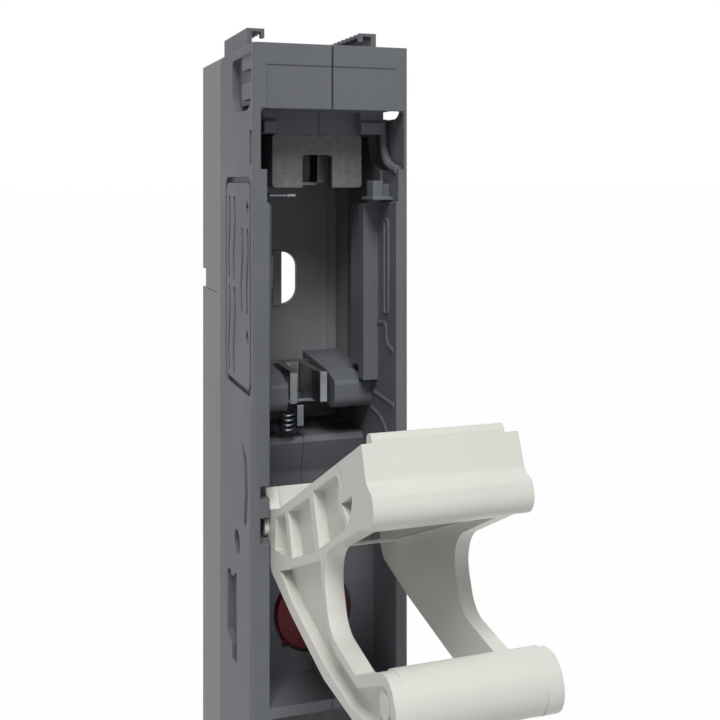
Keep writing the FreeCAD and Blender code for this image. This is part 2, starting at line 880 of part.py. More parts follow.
def rear_base(pole):
    """The moulding behind one pole, with the chamber's back wall and a boss round the bolt."""
    name = "rear_base_%d" % pole
    half = dims.width / 2
    top = top_of(pole)
    cap = top - dims.cap_drop
    low, high = span_of(pole)
    back_wall = dims.chamber_deep + dims.wall_thick
    through = (deep(dims.chamber_deep - 1), deep(back_wall + 1))
    upright = (top - dims.chamber_drop, top - dims.guard_drop)
    lane_high = top - dims.guard_drop if pole == 1 else high + 1
    cutters = list(base_lanes(name, (low - 1, lane_high)))
    cutters.append(block(name + "_chamber", ROOM, (deep(dims.shell_deep - 1), deep(dims.chamber_deep)),
                         upright))
    cutters.append(block(name + "_strip", (inner_right - dims.back_strip_wide, inner_right),
                         (through[0], deep(dims.chamber_deep + dims.back_strip_deep)), upright))
    hole = dims.vent_hole_wide / 2
    middle = top - dims.vent_hole_drop
    hole_low = middle - dims.vent_hole_high / 2
    hole_high = middle + dims.vent_hole_high / 2
    cutters.append(prism(name + "_hole", "Y", rectangle((-hole, hole), (hole_low, hole_high), hole * 0.98),
                         through))
    cutters.append(block(name + "_pocket", (inner_left, -inner_left), (deep(back_wall), base_back + 1),
                         (top - dims.pole_pitch + dims.rib_half, top - dims.guard_drop)))
    reach = dims.conductor_wide / 2 + dims.clearance
    for jaw_name, drop in (("upper", dims.upper_jaw_drop), ("lower", dims.lower_jaw_drop)):
        foot = top - drop - dims.jaw_high / 2
        cutters.append(block("%s_%s_window" % (name, jaw_name), (-reach, reach), through,
                             (foot - dims.clearance, foot + dims.strip_metal + dims.clearance)))
    notch = top - dims.notch_drop
    cutters.append(block(name + "_notch", (-half - 1, -half + dims.notch_wide),
                         (base_back - dims.notch_deep, base_back + 1), (notch - dims.notch_high, notch)))
    cutters.append(block(name + "_side_line", (-half - 1, -half + dims.base_step),
                         (deep(dims.base_step_deep), base_back + 1),
                         (notch - dims.notch_high, notch - dims.notch_high + dims.base_step)))
    opening = dims.tunnel_half
    cutters.append(block(name + "_tunnel", (-opening, opening),
                         (deep(dims.shell_deep - 1), deep(back_wall + 1)), (cap - opening, cap + opening)))
    wall = dims.boss_half
    face = deep(dims.depth - dims.strip_metal)
    boss = minus(name + "_boss", block(name + "_boss_blank", (-wall, wall), (deep(back_wall - 1), face),
                                       (cap - wall, cap + wall)),
                 [block(name + "_boss_bore", (-opening, opening), (deep(dims.shell_deep - 1), face + 1),
                        (cap - opening, cap + opening))])
    bridge = (dims.bridge_shift - dims.bridge_wide / 2, dims.bridge_shift + dims.bridge_wide / 2)
    web = (deep(dims.chamber_deep), deep(back_wall))
    extras = [
        boss,
        block(name + "_bridge", bridge, (deep(dims.chamber_deep - 0.8), web[1]),
              (hole_low - 0.5, hole_high + 0.5)),
        block(name + "_hole_fill", (-hole - 0.2, bridge[0] + 0.5), web,
              (hole_low - 0.5, middle - dims.hole_fill)),
    ]
    carved = minus(name + "_carved", base_blank(name, (low, high)), cutters)
    return keep(joined(name, [carved] + extras), name)


def base_foot():
    """The moulding behind the terminal room."""
    name = "base_foot"
    back_wall = dims.chamber_deep + dims.wall_thick
    floor = shell_bottom + dims.foot_floor
    span = (shell_bottom, split_below(POLES[-1]))
    cutters = list(base_lanes(name, (floor, span[1] + 1)))
    cutters.append(block(name + "_terminal_room", ROOM, (deep(dims.shell_deep - 1), deep(back_wall + 1)),
                         (floor, foot_top - dims.ledge_thick)))
    cutters.append(block(name + "_pocket", (inner_left, -inner_left), (deep(back_wall), base_back + 1),
                         (floor, foot_top - dims.ledge_thick)))
    return keep(minus(name, base_blank(name, span), cutters), name)


def jaw(name, label, jaw_front, jaw_long, middle):
    """A forked contact, bent from one strip, with flared lips at its mouth."""
    gap = dims.blade_gap / 2
    out = gap + dims.jaw_thick
    flare = dims.jaw_flare
    tip = deep(jaw_front)
    neck = tip + dims.jaw_lip
    root = tip + jaw_long
    body = Body(name)
    body.pad("Z", [
        (-out - flare, tip),
        (-gap - flare, tip),
        (-gap, neck, dims.jaw_thick),
        (-gap, root, dims.jaw_bend),
        (gap, root, dims.jaw_bend),
        (gap, neck, dims.jaw_thick),
        (gap + flare, tip),
        (out + flare, tip),
        (out, neck, dims.jaw_thick),
        (out, root + dims.strip_metal, dims.jaw_bend + 1),
        (-out, root + dims.strip_metal, dims.jaw_bend + 1),
        (-out, neck, dims.jaw_thick),
    ], (middle - dims.jaw_high / 2, middle + dims.jaw_high / 2))
    return keep(body.body, label)


def jaw_spring(name, label, jaw_front, middle):
    """The steel clip that squeezes the two sides of a jaw from below."""
    inner = dims.blade_gap / 2 + dims.jaw_thick
    outer = inner + dims.spring_thick
    floor = middle - dims.jaw_high / 2
    start = jaw_front + dims.jaw_lip + 2
    body = Body(name)
    body.pad("Y", [
        (-outer, middle + dims.jaw_high / 4),
        (-outer, floor - dims.spring_thick, dims.spring_thick),
        (outer, floor - dims.spring_thick, dims.spring_thick),
        (outer, middle + dims.jaw_high / 4),
        (inner, middle + dims.jaw_high / 4),
        (inner, floor),
        (-inner, floor),
        (-inner, middle + dims.jaw_high / 4),
    ], (deep(start), deep(start + dims.spring_high)))
    return keep(body.body, label)


def contact_strip(pole):
    """The folded strip from the lower jaw back to the busbar, with the bolt hole in its pad."""
    name = "contact_strip_%d" % pole
    metal = dims.strip_metal
    middle = top_of(pole) - dims.lower_jaw_drop
    cap = top_of(pole) - dims.cap_drop
    high = middle + dims.jaw_high / 2
    low = middle - dims.jaw_high / 2
    start = deep(dims.lower_jaw_front + dims.jaw_long + metal)
    run = deep(dims.lane_deep)
    step = cap + dims.boss_half + dims.strip_step
    pad_half = dims.pad_wide / 2
    wide = (-dims.conductor_wide / 2, dims.conductor_wide / 2)
    body = Body(name)
    body.pad("X", [
        (start, high),
        (start, low, metal),
        (run, low, 0.5),
        (run, step, metal),
        (-metal, step, 0.5),
        (-metal, cap - pad_half),
        (size(0), cap - pad_half),
        (size(0), step + metal, metal),
        (run + metal, step + metal, 0.5),
        (run + metal, low + metal, metal),
        (start + metal, low + metal, 0.5),
        (start + metal, high),
    ], wide)
    body.pad("Y", rectangle((-pad_half, pad_half), (cap - pad_half, cap + pad_half), dims.strip_metal),
             (-metal, size(0)))
    body.drill("Y", (size(0), cap), dims.busbar_hole_radius, (-metal - 1, size(1)))
    return keep(body.body, name)


def outgoing_bar(pole):
    """The bar from the upper jaw down the back of the base to the pole's terminal."""
    name = "outgoing_bar_%d" % pole
    metal = dims.strip_metal
    (lane_low, lane_high), depth = lane_of(pole)
    middle = top_of(pole) - dims.upper_jaw_drop
    low = middle - dims.jaw_high / 2
    start = dims.upper_jaw_front + dims.upper_jaw_long + metal
    half = dims.conductor_wide / 2
    behind = (deep(depth), deep(depth + metal))
    spot = terminal_x(pole)
    tongue = dims.terminal_wide / 2 - dims.cage_wall
    tongue_top = foot_top - dims.terminal_drop
    sideways = (lane_low, half) if lane_low.value < 0 else (-half, lane_high)
    below = (lane_low, spot + tongue) if lane_low.value < 0 else (spot - tongue, lane_high)
    shapes = [
        block(name + "_face", (-half, half), (deep(start), deep(start + metal)),
              (low, middle + dims.jaw_high / 2)),
        block(name + "_foot", (-half, half), (deep(start), deep(depth + metal)), (low, low + metal)),
        block(name + "_cross", sideways, behind, (low - dims.lane_wide, low + metal)),
        block(name + "_lane", (lane_low, lane_high), behind, (tongue_top - metal, low + metal)),
        block(name + "_lower_cross", below, behind, (tongue_top - metal, tongue_top + dims.lane_wide)),
        block(name + "_reach", (spot - tongue, spot + tongue),
              (deep(dims.cage_front + dims.tongue_set), behind[1]), (tongue_top - metal, tongue_top)),
        block(name + "_tongue", (spot - tongue, spot + tongue),
              (deep(dims.cage_front + dims.tongue_set), deep(dims.cage_front + dims.tongue_set + metal)),
              (tongue_top - dims.tongue_long, tongue_top)),
    ]
    return keep(joined(name, shapes), name)


def terminal_cage(pole):
    """The box clamp that draws a cable against the tongue."""
    name = "terminal_cage_%d" % pole
    spot = terminal_x(pole)
    half = dims.terminal_wide / 2
    high = foot_top - dims.terminal_drop - dims.strip_metal - 1
    span = (high - dims.cage_high, high)
    wall = dims.cage_wall - 0.2
    body = Body(name)
    body.pad("Z", rectangle((spot - half, spot + half), (deep(dims.cage_front), deep(dims.cage_back)), 1), span)
    inside = (deep(dims.cage_front) + dims.strip_metal, deep(dims.cage_back) - dims.strip_metal)
    body.pocket("Z", rectangle((spot - half + wall, spot + half - wall), inside), (span[0] - 1, span[1] + 1))
    body.drill("Y", (spot, (span[0] + span[1]) / 2), dims.screw_radius + 0.1,
               (deep(dims.cage_front - 1), deep(dims.cage_front) + dims.strip_metal + 1))
    return keep(body.body, name)


def terminal_screw(pole):
    """The clamp screw of a terminal, with a socket in its head."""
    name = "terminal_screw_%d" % pole
    spot = terminal_x(pole)
    high = foot_top - dims.terminal_drop - dims.strip_metal - 1 - dims.cage_high / 2
    head = deep(dims.cage_front) - dims.screw_head
    body = Body(name)
    body.turn("Y", (spot, high), [
        (0, head),
        (dims.screw_radius + 1.5, head),
        (dims.screw_radius + 1.5, deep(dims.cage_front)),
        (dims.screw_radius, deep(dims.cage_front)),
        (dims.screw_radius, deep(dims.cage_front) + dims.screw_long),
        (0, deep(dims.cage_front) + dims.screw_long),
    ])
    reach = dims.screw_radius * 0.7
    body.pocket("Y", [(spot + reach * math.cos(math.radians(turn)), high + reach * math.sin(math.radians(turn)))
                      for turn in range(0, 360, 60)], (head - 1, head + 2.5))
    return keep(body.body, name)


def terminal_cover():
    """The cover over the terminal room, with a finger notch and screwdriver holes."""
    name = "terminal_cover"
    low = shell_bottom + dims.foot_floor + dims.clearance
    high = foot_top - dims.clearance
    across = (inner_left + dims.clearance, inner_right - dims.clearance)
    body = Body(name)
    body.pad("Y", rectangle(across, (low, high), 1), (front, deep(dims.cover_thick)))
    body.pocket("Y", rectangle((across[0] + 3, across[1] - 3), (low + 4, high - 12), 1.5),
                (front - 1, deep(dims.panel_deep)))
    body.pocket("Y", rectangle((size(-8), size(8)), (high - 8, high - 4), 1.9), (front - 1, deep(1.4)))
    return keep(body.body, name)


def contact_guard(pole):
    """The cover of the upper jaw, with the notch through which the fuse's blade enters."""
    name = "contact_guard_%d" % pole
    top = top_of(pole) - dims.guard_drop
    low = top - dims.guard_high
    half = dims.guard_wide / 2
    notch = dims.notch_open / 2
    body = Body(name)
    body.pad("Y", rectangle((-half, half), (low, top), dims.guard_round),
             (deep(dims.guard_front), deep(dims.guard_back)))
    body.pocket("Y", [
        (-half + dims.wall_thick, low - 1),
        (half - dims.wall_thick, low - 1),
        (half - dims.wall_thick, top - dims.wall_thick),
        (-half + dims.wall_thick, top - dims.wall_thick),
    ], (deep(dims.guard_front + dims.wall_thick - 0.5), deep(dims.guard_back + 1)))
    body.pocket("Y", [
        (-notch, low - 1),
        (notch, low - 1),
        (notch, top - dims.notch_top, dims.guard_round),
        (-notch, top - dims.notch_top, dims.guard_round),
    ], (deep(dims.guard_front - 1), deep(dims.guard_front + dims.wall_thick)))
    return keep(body.body, name)


def contact_carrier(pole):
    """The cross member with a rounded hood on each side of the lower jaw."""
    name = "contact_carrier_%d" % pole
    middle = top_of(pole) - dims.lower_jaw_drop
    high = middle + dims.hood_high
    low = middle - dims.jaw_high / 2
    under = low - dims.hood_low
    gap = dims.hood_gap / 2
    body = Body(name)
    body.pad("X", [
        (deep(dims.hood_front), under, dims.hood_round),
        (deep(dims.hood_back), under),
        (deep(dims.hood_back), under - 1),
        (deep(dims.chamber_deep), under - 1),
        (deep(dims.chamber_deep), high),
        (deep(dims.hood_front + 9), high - 2),
        (deep(dims.hood_front), high - 4.5, dims.hood_round / 2),
    ], ROOM)
    body.pocket("X", [
        (deep(dims.hood_front - 1), low - 0.6),
        (deep(dims.chamber_deep + 1), low - 0.6),
        (deep(dims.chamber_deep + 1), high + 1),
        (deep(dims.hood_front - 1), high + 1),
    ], (-gap, gap))
    body.pocket("X", [
        (deep(dims.hood_front - 1), under - 2),
        (deep(dims.hood_back), under - 2),
        (deep(dims.hood_back), low - 0.3),
        (deep(dims.hood_front - 1), low - 0.3),
    ], (-gap, gap))
    return keep(body.body, name)


def cap(pole):
    """The push-in cap over the bolt tunnel."""
    name = "red_cap_%d" % pole
    seat = deep(dims.cap_room_deep + dims.cap_sunk)
    face = seat - dims.cap_thick
    plug = dims.tunnel_half - dims.clearance / 2
    ridge = dims.cap_radius - dims.cap_ridge
    centre = top_of(pole) - dims.cap_drop
    body = Body(name)
    body.turn("Y", (size(0), centre), [
        (0, face + dims.cap_dish),
        (ridge, face + dims.cap_dish),
        (ridge, face),
        (dims.cap_radius - dims.cap_dish, face),
        (dims.cap_radius, face + dims.cap_dish),
        (dims.cap_radius, seat),
        (0, seat),
    ])
    body.pad("Y", rectangle((-plug, plug), (centre - plug, centre + plug)), (seat, seat + dims.cap_plug_long))
    return keep(body.body, name)


lid_left = inner_left + dims.lid_gap
lid_right = lid_left + dims.lid_wide
LID = (lid_left, lid_right)
BETWEEN = (lid_left + dims.left_arm, lid_right - dims.right_arm)


def lid_outline():
    """The lid seen from the side when it is closed, from its pivot: Y is back and Z is up."""
    door = -dims.lid_front
    top = dims.lid_top
    grip_out = -dims.grip_forward - dims.grip_radius
    grip_in = -dims.grip_forward + dims.grip_radius
    grip_top = dims.grip_up + dims.grip_radius
    corner = dims.grip_radius - 0.5
    return [
        (dims.lid_foot_back, size(16)),
        (dims.lid_back, top),
        (size(-0.8), top, 3),
        (size(-3.2), top + 2.7, 2),
        (door - 1.1, top + 2.7, 4.6),
        (door - 0.3, top - 9, 6),
        (door - 2.8, size(56.5), dims.scoop_lid),
        (size(-31), size(56.5), dims.scoop_lid - 2.5),
        (size(-40.5), size(73.8), 4),
        (grip_in, grip_top, corner),
        (grip_out, grip_top, corner),
        (grip_out, dims.grip_up - 15.9, 12),
        (size(-41.8), size(46), 30),
        (size(-26.1), size(19.5), 30),
        (size(-13.7), size(1), 1.5),
        (size(5.4), size(-5.2), 4.6),
    ]


def side_recesses():
    """The sunk fields of the lid's flank, with the rims and ribs left between them."""
    rib = -11.4
    front_face = rib - dims.rim
    yield [(-7.7, 7.7), (rib, 23.7), (1.1, 23.7), (1.1, 12.7)]
    yield [(rib, 27.2), (rib, 50.6), (2.4, 50.6), (1.2, 27.2)]
    yield [(-11, 55), (3.4, 55), (4.6, 76.6), (2.9, 78.2, 1), (1.2, 76.8, 1), (-0.9, 76.4), (-3, 75.6),
           (-8.4, 80.4, 1), (-9.2, 72)]
    yield [(6.2, 78.2), (2.4, 79.9), (-1, 79.6), (-1, 80.5), (2.6, 80.8), (6.6, 79)]
    yield [
        (front_face, 11.8),
        (front_face, 55.2),
        (-18.6, 53.6, 6),
        (-29.5, 53.6, 8),
        (-36, 59.5, 5),
        (-43.2, 74.5, 4),
        (-42, 95.6, 3),
        (-50.4, 95.6, 3),
        (-50.4, 80, 8),
        (-47.4, 67, 6),
        (-38.7, 48.4, 20),
        (-23.2, 22.4, 20),
    ]


def place_lid(body, pole):
    """Put a lid's body on its pivot, the top pole's swung open and the others closed."""
    place(body, 0, deep(dims.pivot_deep), top_of(pole) - dims.pivot_drop)
    if pole == 1:
        body.Placement.Rotation = Rotation(Vector(1, 0, 0), float(dims.lid_open_angle))
        bind(body, ".Placement.Rotation.Angle", dims.lid_open_angle)


def lid(pole):
    """The moulded lid with its arms and grip bar."""
    name = "lid_%d" % pole
    left, right = LID
    door = -dims.lid_front
    flanks = ((left - 1, left + dims.left_arm - dims.web), (right - dims.right_arm + dims.web, right + 1))
    body = Body(name)
    body.pad("X", lid_outline(), LID)
    body.pocket("X", [
        (size(-60), size(-20)),
        (door, size(-20)),
        (door, size(85.5)),
        (door - 2, size(89)),
        (door - 2, size(120)),
        (size(-60), size(120)),
    ], BETWEEN)
    body.pocket("X", rectangle((door - 1, dims.lid_back + 1), (size(-20), size(14))), BETWEEN)
    body.pocket("X", rectangle((door + dims.lid_wall, dims.lid_back + 1),
                               (14 + dims.lid_wall, dims.lid_top - dims.lid_wall)), BETWEEN)
    for path in side_recesses():
        for flank in flanks:
            body.pocket("X", path, flank)
    for hollow in ((left - 1, left + dims.left_arm - 0.8), flanks[1]):
        body.pocket("X", [(-1.7, 87.3), (-2.4, 78.4), (-7.4, 82.2), (-4.6, 85.6)], hollow)
    bar = (-dims.grip_forward, dims.grip_up)
    body.disc("X", bar, dims.grip_radius, (flanks[0][1] - 0.2, flanks[1][0] + 0.2))
    body.disc("X", bar, dims.grip_end, LID)
    body.disc("X", (size(0), size(0)), dims.pin_radius, (left - dims.pin_long, left + 1))
    body.disc("X", (size(0), size(0)), dims.pin_radius, (right - 1, right + dims.pin_long))
    body.disc("X", (dims.lid_back + 0.8, dims.lid_top - 3), dims.lip_radius, (left + 3, right - 3))
    body.pad("X", [(2, -4), (dims.lug_back, -4), (dims.lug_back, 2), (2, 4)], (left, left + dims.lug_wide))
    tip = dims.lug_back - 0.5
    body.pad("X", [(tip, -2.9), (tip + 4.8, -3.6), (tip, -0.6)], (left, left + 0.9))
    body.pad("X", rectangle((size(3), dims.lug_back + 0.6), (size(-4.2), size(-2.2))), (left + 0.5, right - 0.5))
    body.pocket("Y", window_field(0), (door - 1, door + dims.lid_wall + 1))
    for across in ((BETWEEN[0] - 0.5, BETWEEN[0] + dims.claw_wide),
                   (BETWEEN[1] - dims.claw_wide, BETWEEN[1] + 0.5)):
        for low in (size(24), dims.lid_top - 22):
            body.pad("X", [
                (door + dims.lid_wall, low),
                (dims.lid_foot_back, low),
                (dims.lid_foot_back + 2, low + 2),
                (dims.lid_foot_back, low + 4),
                (door + dims.lid_wall, low + 6),
            ], across)
    place_lid(body.body, pole)
    return keep(body.body, name)


def window_field(margin):
    """The outline of the window's opening in the lid's front, less a margin."""
    middle = (lid_left + lid_right) / 2
    half = dims.window_wide / 2 - margin
    return rectangle((middle - half, middle + half),
                     (dims.window_low + margin, dims.window_low + dims.window_high - margin), 1.5)


def test_window(pole):
    """The clear window of the lid, with two slits for a test probe."""
    name = "test_window_%d" % pole
    door = -dims.lid_front
    middle = (lid_left + lid_right) / 2
    body = Body(name)
    body.pad("Y", window_field(dims.window_play), (door + 0.4, door + 0.4 + dims.window_thick))
    for shift in (-dims.slit_apart / 2, dims.slit_apart / 2):
        spot = middle + shift
        high = dims.window_low + dims.window_high - dims.slit_drop
        body.pocket("Y", rectangle((spot - dims.slit_wide / 2, spot + dims.slit_wide / 2),
                                   (high - dims.slit_high, high)), (door - 1, door + dims.window_thick + 2))
    place_lid(body.body, pole)
    return keep(body.body, name)


for side in SIDES:
    shell_foot(side)
base_foot()
for pole in POLES:
    for side in SIDES:
        half_shell(side, pole)
    rear_base(pole)
    contact_guard(pole)
    jaw("upper_jaw_%d_body" % pole, "upper_jaw_%d" % pole, dims.upper_jaw_front, dims.upper_jaw_long,
        top_of(pole) - dims.upper_jaw_drop)
    jaw_spring("upper_spring_%d_body" % pole, "upper_jaw_spring_%d" % pole, dims.upper_jaw_front,
               top_of(pole) - dims.upper_jaw_drop)
    jaw("lower_jaw_%d_body" % pole, "lower_jaw_%d" % pole, dims.lower_jaw_front, dims.jaw_long,
        top_of(pole) - dims.lower_jaw_drop)
    jaw_spring("lower_spring_%d_body" % pole, "lower_jaw_spring_%d" % pole, dims.lower_jaw_front,
               top_of(pole) - dims.lower_jaw_drop)
    contact_carrier(pole)
    contact_strip(pole)
    outgoing_bar(pole)
    cap(pole)
    lid(pole)
    test_window(pole)
    terminal_cage(pole)
    terminal_screw(pole)
terminal_cover()

doc.recompute()
for obj in doc.Objects:
    if "Invalid" in obj.State or "Error" in obj.State:
        raise RuntimeError("%s failed: %s" % (obj.Name, obj.State))
for obj in NAMES:
    if obj.Shape.isNull() or not obj.Shape.isValid():
        raise RuntimeError("%s has no valid shape" % obj.Label)
for obj in NAMES:
    obj.Shape.exportStep("parts/%s.step" % obj.Label)
    print("%s: %d solids, %.0f mm3" % (obj.Label, len(obj.Shape.Solids), obj.Shape.Volume))
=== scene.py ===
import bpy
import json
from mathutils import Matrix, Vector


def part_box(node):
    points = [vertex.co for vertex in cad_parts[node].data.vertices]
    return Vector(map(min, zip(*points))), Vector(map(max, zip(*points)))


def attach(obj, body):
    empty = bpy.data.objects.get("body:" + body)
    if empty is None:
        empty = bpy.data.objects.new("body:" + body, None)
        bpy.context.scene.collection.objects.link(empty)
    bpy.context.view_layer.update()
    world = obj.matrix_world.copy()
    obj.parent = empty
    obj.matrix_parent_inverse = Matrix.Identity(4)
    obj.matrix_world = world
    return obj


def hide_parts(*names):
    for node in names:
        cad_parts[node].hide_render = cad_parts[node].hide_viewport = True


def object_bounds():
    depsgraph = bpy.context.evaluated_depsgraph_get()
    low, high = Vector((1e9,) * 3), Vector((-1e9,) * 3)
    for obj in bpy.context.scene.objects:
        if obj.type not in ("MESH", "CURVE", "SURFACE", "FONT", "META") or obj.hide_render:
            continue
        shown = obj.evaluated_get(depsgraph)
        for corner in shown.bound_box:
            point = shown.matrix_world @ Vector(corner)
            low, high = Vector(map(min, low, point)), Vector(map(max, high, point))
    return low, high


bl_info = {
    "name": "Fuse switch disconnector",
    "version": (1, 0, 0),
    "blender": (4, 5, 0),
    "location": "3D View > Sidebar > Switchgear",
    "description": "Dresses a fuse switch disconnector with its finishes, small trim and a studio stage",
    "category": "Object",
}

import json
import math

import bmesh
import bpy
from mathutils import Matrix, Vector

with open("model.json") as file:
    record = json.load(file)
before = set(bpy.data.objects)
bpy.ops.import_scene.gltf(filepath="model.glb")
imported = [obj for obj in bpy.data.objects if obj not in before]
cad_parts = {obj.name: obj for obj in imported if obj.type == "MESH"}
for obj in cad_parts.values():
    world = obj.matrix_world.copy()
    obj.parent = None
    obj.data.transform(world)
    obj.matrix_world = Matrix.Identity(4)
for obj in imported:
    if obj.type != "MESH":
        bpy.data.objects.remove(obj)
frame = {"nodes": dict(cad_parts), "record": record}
CAD_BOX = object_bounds()
MM = 0.001
POLES = (1, 2, 3)
BODY_OF = {node: body for body, nodes in frame["record"]["behaviour"]["bodies"].items() for node in nodes}
HINGES = [Vector(joint["pos_m"]) for joint in frame["record"]["behaviour"]["joints"]]

# A lid's hinge lies this deep behind the housing's front and this far under the top of its pole's opening.
HINGE_DEEP = 5 * MM
HINGE_DROP = 127.75 * MM
FRONT = HINGES[0].y - HINGE_DEEP
TOPS = [hinge.z + HINGE_DROP for hinge in HINGES]

# Points nearer than TOUCH are one point, and faces that turn by less than FLAT are one face. An edge that
# turns by more than SHARP stays sharp. The seam cuts back the edges on the housing's middle that turn by
# more than CORNER.
TOUCH = 0.002 * MM
FLAT = math.radians(0.6)
SHARP = math.radians(32)
CORNER = math.radians(60)

# A moulding's patterns: their scales per metre, the depth of the grain, and how much each one changes the
# colour and the roughness.
FLOW_SCALES = (520.0, 520.0, 14.0)
GRAIN_SCALE = 2600.0
GRAIN_DEPTH = 0.06 * MM
FLOW_TINT = 0.6
# The edges are painted lighter in colour: partly wear from handling, partly a painted highlight along them.
WEAR_AND_HIGHLIGHT_TINT = 0.55
CLOUD_ROUGH = 0.08
GRAIN_ROUGH = 0.10
WORN_ROUGH = 0.12
FLOW_ROUGH = 0.06

# The same for plated metal, with the shades of its dull patches and of its worn edges, which are painted
# lighter partly for wear and partly as a painted highlight.
PATCH_SCALE = 160.0
LINE_DEPTH = 0.04 * MM
DULL_SHADE = 0.78
EDGE_WEAR_AND_HIGHLIGHT_SHADE = 1.25
EDGE_WEAR_AND_HIGHLIGHT_TINT = 0.5
PATCH_ROUGH = 0.14
LINE_ROUGH = 0.1

# The scratches in a clear window, and its roughness without them.
SCRATCH_SCALES = (900.0, 60.0, 120.0)
SCRATCH_ROUGH = 0.20
WINDOW_ROUGH = 0.05

# The sockets of a Mix node that take and give colours.
FIRST_COLOUR = 6
SECOND_COLOUR = 7
MIXED_COLOUR = 2

# The small trim of each pole. Its places are in mm: across from the housing's middle, deep behind its front
# and drop under the top of the pole's opening. A block goes from one corner to the opposite one.
CHEEK_STOPS = [
    ((15.4, 6.0, 22.0), (18.9, 12.0, 27.6)),
    ((18.5, 8.0, 23.0), (21.9, 12.0, 27.6)),
    ((15.0, 5.0, 27.2), (21.9, 16.0, 28.2)),
]
STOP_EDGE = 0.25
GUARD_PLATES = [((-12.9, 28.4, 26.4), (-4.2, 33.0, 27.2))]
GUARD_TIPS = [((-7.0, 28.1, 26.3), (-3.8, 29.4, 27.3))]
HOOD_STRIPS = [((-3.0, 29.6, 97.0), (-0.6, 30.6, 104.0))]
STRIP_EDGE = 0.2

# The coil spring under the left hood, in mm.
COIL_MIDDLE = (-6.0, 31.0, 102.8)
COIL_RADIUS = 2.4
COIL_TALL = 6.4
COIL_TURNS = 4
TURN_STEPS = 16
WIRE_ACROSS = 0.8
WIRE_SIDES = 8

# The ribs along the right wall and the rim of the scoop, in mm. Each run is a list of places, deep and
# drop, and one that ends where it starts is a ring.
RIB_RUNS = [
    [(21.5, 69.2), (14.0, 68.6), (10.0, 67.8), (8.8, 70.5), (8.6, 73.6), (6.0, 75.6), (2.8, 75.8)],
    [(24.5, 92.0), (2.0, 93.3)],
    [(23.5, 98.0), (17.0, 98.6), (10.5, 100.6), (7.3, 104.7)],
]
RIB_RADIUS = 1.2
SLOT_RUNS = [
    [(8.6, 34.5), (6.8, 34.8), (6.65, 38.0), (6.65, 61.0), (6.8, 64.4), (8.6, 64.9),
     (10.4, 64.4), (10.55, 61.0), (10.55, 38.0), (10.4, 34.8), (8.6, 34.5)],
]
SLOT_RADIUS = 0.5
SCOOP_RUNS = [[(14.9, 2.0), (14.6, 8.0), (14.0, 13.0), (9.3, 17.6), (1.6, 18.6)]]
SCOOP_RADIUS = 1.4

# The floor lies just under the object. It shows the object's shadow, and is nearly white further out.
FLOOR_GAP = 0.5 * MM
FLOOR_LEVEL = CAD_BOX[0][2] - FLOOR_GAP
FLOOR_HALF = 60.0
FLOOR_CLOUDS = 3.0
FLOOR_PALE = (0.90, 0.90, 0.90, 1.0)
FLOOR_PALER = (0.93, 0.93, 0.93, 1.0)
NEAR_WHITE = 0.80
FAR_WHITE = 0.985
WHITE = (1.0, 1.0, 1.0, 1.0)
SKY_COLOUR = (0.97, 0.98, 1.0, 1.0)

# The places of the lamps and the camera, in metres.
LAMP_AIM = Vector((0.0, -0.05, 0.24))
KEY_PLACE = Vector((-0.31, -1.00, 1.43))
KEY_SIDE = 0.6
FILL_PLACE = Vector((1.0, 0.7, 0.5))
FILL_SIDE = 0.8
CAMERA_PLACE = Vector((-0.09958, -0.3938, 0.32625))
CAMERA_WAY = Vector((0.3289, 0.9444, 0.0))
CAMERA_SHIFT = -0.25
SENSOR_WIDTH = 36.0


class Wire:
    """An output of a node, with arithmetic that adds the Math nodes it needs."""

    def __init__(self, finish, socket):
        self.finish = finish
        self.socket = socket

    def maths(self, operation, left, right):
        return self.finish.node("ShaderNodeMath", {"operation": operation}, {0: left, 1: right})

    def __add__(self, other):
        return self.maths("ADD", self, other)

    __radd__ = __add__

    def __sub__(self, other):
        return self.maths("SUBTRACT", self, other)

    def __rsub__(self, other):
        return self.maths("SUBTRACT", other, self)

    def __mul__(self, other):
        return self.maths("MULTIPLY", self, other)

    __rmul__ = __mul__

    def at_least(self, other):
        return self.maths("MAXIMUM", self, other)


class Finish:
    """The nodes of a material or of the sky, added one by one."""

    def __init__(self, owner):
        owner.use_nodes = True
        self.owner = owner
        self.nodes = owner.node_tree.nodes
        self.links = owner.node_tree.links
        self.nodes.clear()

    def node(self, kind, settings, inputs, output=0):
        """Add a node with its settings made first, then its inputs' values or links."""
        made = self.nodes.new(kind)
        for key, value in settings.items():
            setattr(made, key, value)
        for key, value in inputs.items():
            if isinstance(value, Wire):
                self.links.new(value.socket, made.inputs[key])
            else:
                made.inputs[key].default_value = value
        return Wire(self, made.outputs[output]) if made.outputs else None

    def place(self):
        """The place on a piece, in metres along the object's own axes."""
        return self.node("ShaderNodeTexCoord", {}, {}, "Object")

    def noise(self, place, scale, detail=2.0, roughness=0.5):
        return self.node("ShaderNodeTexNoise", {}, {"Vector": place, "Scale": scale, "Detail": detail,
                                                    "Roughness": roughness}, "Fac")

    def strokes(self, place, scales, detail, roughness=0.5):
        """Noise with a scale of its own along each axis, for streaks, rolling lines and scratches."""
        stretched = self.node("ShaderNodeMapping", {}, {"Vector": place, "Scale": scales})
        return self.noise(stretched, 1.0, detail, roughness)

    def mix(self, factor, first, second):
        """Blend two colours."""
        return self.node("ShaderNodeMix", {"data_type": "RGBA"}, {
            "Factor": factor, FIRST_COLOUR: first, SECOND_COLOUR: second}, MIXED_COLOUR)

    def ramp(self, factor, low, high):
        """Spread a value so that low becomes 0 and high becomes 1."""
        return self.node("ShaderNodeMapRange", {}, {"Value": factor, "From Min": low, "From Max": high})

    def close(self, shader, kind="ShaderNodeOutputMaterial"):
        """Send the shader to the output, and give the finished material or sky."""
        self.node(kind, {}, {"Surface": shader})
        return self.owner


def shade(base, factor=1.0):
    """A colour made darker or lighter, as a socket takes it."""
    return (*(min(1.0, value * factor) for value in base), 1.0)


